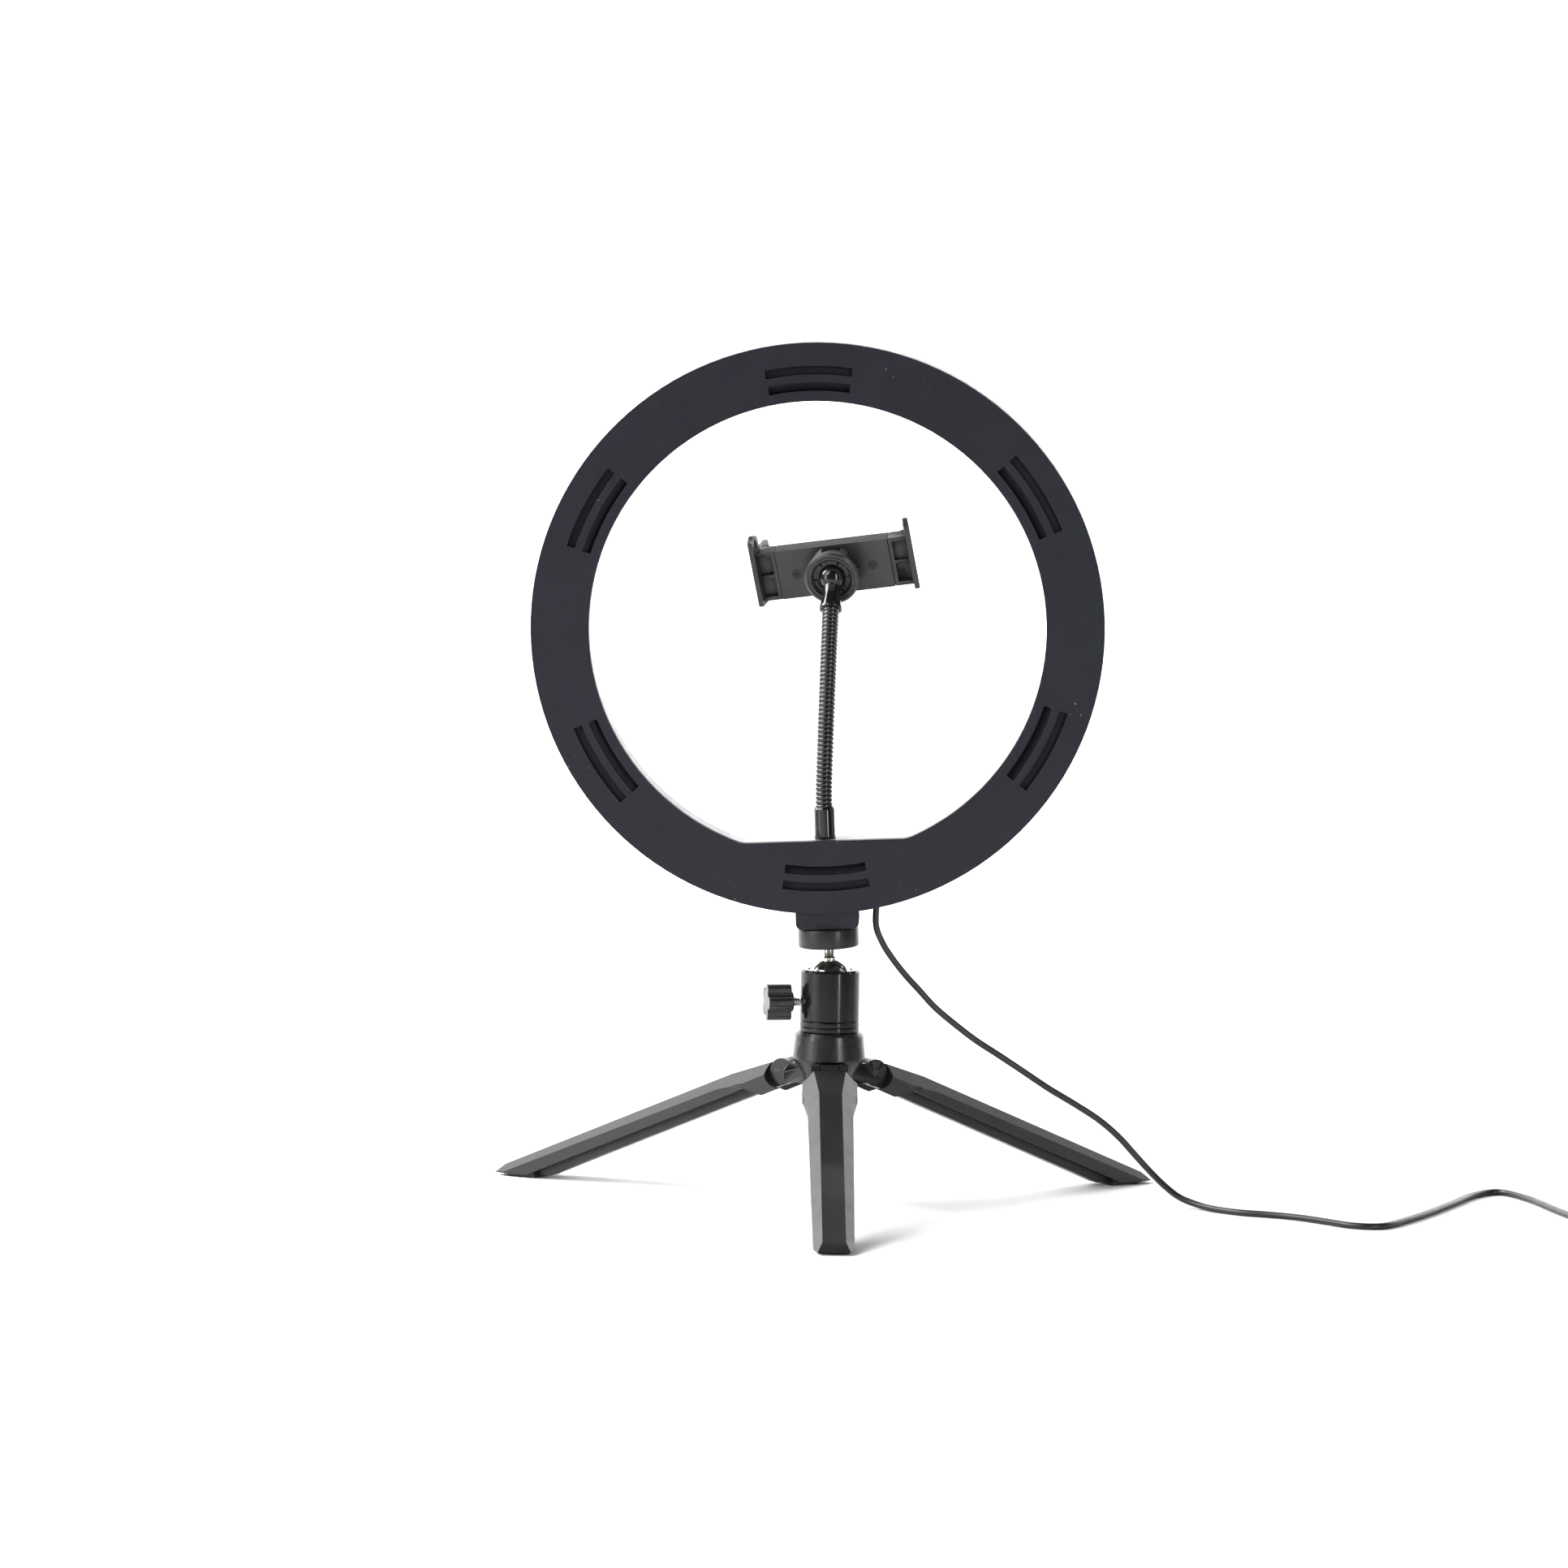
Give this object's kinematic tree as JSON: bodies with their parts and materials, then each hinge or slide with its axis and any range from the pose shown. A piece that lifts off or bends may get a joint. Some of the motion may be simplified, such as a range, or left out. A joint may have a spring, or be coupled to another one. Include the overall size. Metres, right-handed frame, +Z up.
{
  "type": "ring light",
  "caption": "Desktop ring light on a folding mini tripod with a ball head, gooseneck phone clamp and wired in-line remote.",
  "frame": {"origin": "centre of the footprint of the light and its stand on the surface, lead left out", "axes": "+Z up, +X to the right seen from behind the light, +Y the way the light shines"},
  "size_m": [0.5727, 0.2662, 0.3939],
  "materials": {
    "back_shell": "fine matte texture, navy black",
    "diffuser_white": "milky translucent white",
    "board_white": "white printed circuit board",
    "led_warm": "warm phosphor",
    "led_cool": "cool phosphor",
    "brass": "turned",
    "rubber_black": "matte",
    "neck_black": "semi-gloss black wound wire",
    "ferrule_black": "gloss black",
    "clamp_plastic": "satin grey-black",
    "nylon": "natural nylon",
    "screw_black": "blackened screw",
    "steel": "drawn steel",
    "chrome_ball": "mirror polish",
    "nickel": "nickel plate",
    "head_gloss": "gloss black",
    "disc_black": "satin black",
    "knob_black": "satin black",
    "tripod_black": "satin black",
    "leg_black": "textured black",
    "lead_black": "black PVC",
    "tie_black": "black strap",
    "remote_black": "satin black",
    "button_grey": "dark grey"
  },
  "bodies": {
    "stand": {"base_ring": "head_gloss", "hub": "tripod_black", "hub_screw": "steel", "leg_pins": "steel", "lead_front": "lead_black", "lead_rear": "lead_black", "lead_coil": "lead_black", "coil_tie": "tie_black", "usb_plug": "nickel", "usb_grip": "remote_black", "remote_top": "remote_black", "remote_base": "remote_black"},
    "front_leg_body": {"front_leg": "leg_black", "front_foot": "rubber_black"},
    "right_leg_body": {"right_leg": "leg_black", "right_foot": "rubber_black"},
    "left_leg_body": {"left_leg": "leg_black", "left_foot": "rubber_black"},
    "head": {"head_body": "head_gloss", "pressure_pad": "nylon"},
    "lock": {"lock_screw": "nickel", "lock_knob": "knob_black"},
    "tilt_liner": {"ball_liner": "nylon"},
    "platform": {"ball_stud": "chrome_ball", "platform_disc": "disc_black"},
    "light": {"rear_housing": "back_shell", "diffuser": "diffuser_white", "led_board": "board_white", "warm_leds": "led_warm", "cool_leds": "led_cool", "tripod_insert": "brass", "gooseneck_nut": "brass", "cable_grommet": "rubber_black", "gooseneck_ferrule": "ferrule_black", "gooseneck_root": "neck_black"},
    "neck_1": {"gooseneck_link_1": "neck_black"},
    "neck_2": {"gooseneck_link_2": "neck_black"},
    "neck_3": {"gooseneck_link_3": "neck_black"},
    "neck_4": {"gooseneck_link_4": "neck_black"},
    "neck_5": {"gooseneck_link_5": "neck_black"},
    "neck_6": {"gooseneck_link_6": "neck_black"},
    "neck_end": {"gooseneck_tip": "neck_black", "clamp_ball": "ferrule_black"},
    "clamp_liner": {"clamp_ball_liner": "nylon"},
    "clamp": {"clamp_back": "clamp_plastic", "clamp_front": "clamp_plastic", "clamp_screws": "screw_black", "guide_rods": "steel", "left_spring": "steel", "right_spring": "steel"},
    "collar": {"clamp_collar": "ferrule_black"},
    "left_jaw_body": {"left_jaw": "clamp_plastic", "left_grip": "rubber_black"},
    "right_jaw_body": {"right_jaw": "clamp_plastic", "right_grip": "rubber_black"},
    "power_button": {"button_power": "button_grey"},
    "brighter_button": {"button_brighter": "button_grey"},
    "dimmer_button": {"button_dimmer": "button_grey"},
    "colour_button": {"button_colour": "button_grey"}
  },
  "joints": [
    {"name": "front_leg_fold", "type": "hinge", "parent": "stand", "child": "front_leg_body", "pos_m": [0, 0.0205, 0.0595], "axis": [1, 0, 0], "range_deg": [0, 67]},
    {"name": "right_leg_fold", "type": "hinge", "parent": "stand", "child": "right_leg_body", "pos_m": [0.01732, 0.0505, 0.0595], "axis": [-0.5, 0.866, 0], "range_deg": [0, 67]},
    {"name": "left_leg_fold", "type": "hinge", "parent": "stand", "child": "left_leg_body", "pos_m": [-0.01732, 0.0505, 0.0595], "axis": [-0.5, -0.866, 0], "range_deg": [0, 67]},
    {"name": "head_pan", "type": "hinge", "parent": "stand", "child": "head", "pos_m": [0, 0.0405, 0.0838], "axis": [0, 0, 1], "range_deg": [-180, 180]},
    {"name": "lock_turn", "type": "hinge", "parent": "head", "child": "lock", "pos_m": [0, 0.0405, 0.0924], "axis": [-0.9816, -0.1908, 0], "range_deg": [0, 360]},
    {"name": "tilt_forward", "type": "hinge", "parent": "head", "child": "tilt_liner", "pos_m": [0, 0.0405, 0.1011], "axis": [1, 0, 0], "range_deg": [-25, 25], "deforming": ["lead_front"]},
    {"name": "tilt_sideways", "type": "hinge", "parent": "tilt_liner", "child": "platform", "pos_m": [0, 0.0405, 0.1011], "axis": [0, 1, 0], "range_deg": [-25, 25], "deforming": ["lead_front"]},
    {"name": "light_turn", "type": "hinge", "parent": "platform", "child": "light", "pos_m": [0, 0.0405, 0.1011], "axis": [-0.0495, -0.05, 0.9975], "range_deg": [-180, 180], "deforming": ["lead_front"]},
    {"name": "neck_bend_1", "type": "hinge", "parent": "light", "child": "neck_1", "pos_m": [-0.00431, 0.03615, 0.18793], "axis": [-0.9988, 0.0456, 0.0156], "range_deg": [-10, 10]},
    {"name": "neck_sway_2", "type": "hinge", "parent": "neck_1", "child": "neck_2", "pos_m": [-0.00408, 0.03663, 0.20109], "axis": [0.0432, 0.991, -0.1269], "range_deg": [-8, 8]},
    {"name": "neck_bend_3", "type": "hinge", "parent": "neck_2", "child": "neck_3", "pos_m": [-0.0038, 0.03829, 0.21415], "axis": [-0.9988, 0.0456, 0.0156], "range_deg": [-10, 10]},
    {"name": "neck_sway_4", "type": "hinge", "parent": "neck_3", "child": "neck_4", "pos_m": [-0.00348, 0.04111, 0.22701], "axis": [0.0387, 0.9526, -0.3019], "range_deg": [-8, 8]},
    {"name": "neck_bend_5", "type": "hinge", "parent": "neck_4", "child": "neck_5", "pos_m": [-0.0031, 0.04508, 0.23956], "axis": [-0.9988, 0.0456, 0.0156], "range_deg": [-10, 10]},
    {"name": "neck_sway_6", "type": "hinge", "parent": "neck_5", "child": "neck_6", "pos_m": [-0.00268, 0.05015, 0.2517], "axis": [0.033, 0.8835, -0.4673], "range_deg": [-8, 8]},
    {"name": "neck_bend_7", "type": "hinge", "parent": "neck_6", "child": "neck_end", "pos_m": [-0.00221, 0.05629, 0.26334], "axis": [-0.9988, 0.0456, 0.0156], "range_deg": [-10, 10]},
    {"name": "clamp_pitch", "type": "hinge", "parent": "neck_end", "child": "clamp_liner", "pos_m": [-0.00125, 0.07015, 0.28472], "axis": [0.9711, -0.194, 0.1392], "range_deg": [-8, 60]},
    {"name": "clamp_roll", "type": "hinge", "parent": "clamp_liner", "child": "clamp", "pos_m": [-0.00125, 0.07015, 0.28472], "axis": [0.1375, 0.9308, 0.3387], "range_deg": [-90, 90]},
    {"name": "collar_turn", "type": "hinge", "parent": "clamp", "child": "collar", "pos_m": [-0.00125, 0.07015, 0.28472], "axis": [0.1375, 0.9308, 0.3387], "range_deg": [-180, 180]},
    {"name": "left_jaw_slide", "type": "slide", "parent": "clamp", "child": "left_jaw_body", "axis": [-0.9711, 0.194, -0.1392], "range_m": [0, 0.014], "stiffness_N_per_m": 120, "springref_m": -0.004, "deforming": ["left_spring"]},
    {"name": "right_jaw_slide", "type": "slide", "parent": "clamp", "child": "right_jaw_body", "axis": [0.9711, -0.194, 0.1392], "range_m": [0, 0.014], "stiffness_N_per_m": 120, "springref_m": -0.004, "deforming": ["right_spring"]},
    {"name": "power_press", "type": "slide", "parent": "stand", "child": "power_button", "axis": [0, 0, -1], "range_m": [0, 0.0008], "stiffness_N_per_m": 600, "springref_m": -0.0005},
    {"name": "brighter_press", "type": "slide", "parent": "stand", "child": "brighter_button", "axis": [0, 0, -1], "range_m": [0, 0.0008], "stiffness_N_per_m": 600, "springref_m": -0.0005},
    {"name": "dimmer_press", "type": "slide", "parent": "stand", "child": "dimmer_button", "axis": [0, 0, -1], "range_m": [0, 0.0008], "stiffness_N_per_m": 600, "springref_m": -0.0005},
    {"name": "colour_press", "type": "slide", "parent": "stand", "child": "colour_button", "axis": [0, 0, -1], "range_m": [0, 0.0008], "stiffness_N_per_m": 600, "springref_m": -0.0005}
  ],
  "couplings": [
    {"joint": "neck_bend_3", "follows": "neck_bend_1", "ratio": 1},
    {"joint": "neck_bend_5", "follows": "neck_bend_1", "ratio": 1},
    {"joint": "neck_bend_7", "follows": "neck_bend_1", "ratio": 1},
    {"joint": "neck_sway_4", "follows": "neck_sway_2", "ratio": 1},
    {"joint": "neck_sway_6", "follows": "neck_sway_2", "ratio": 1}
  ]
}
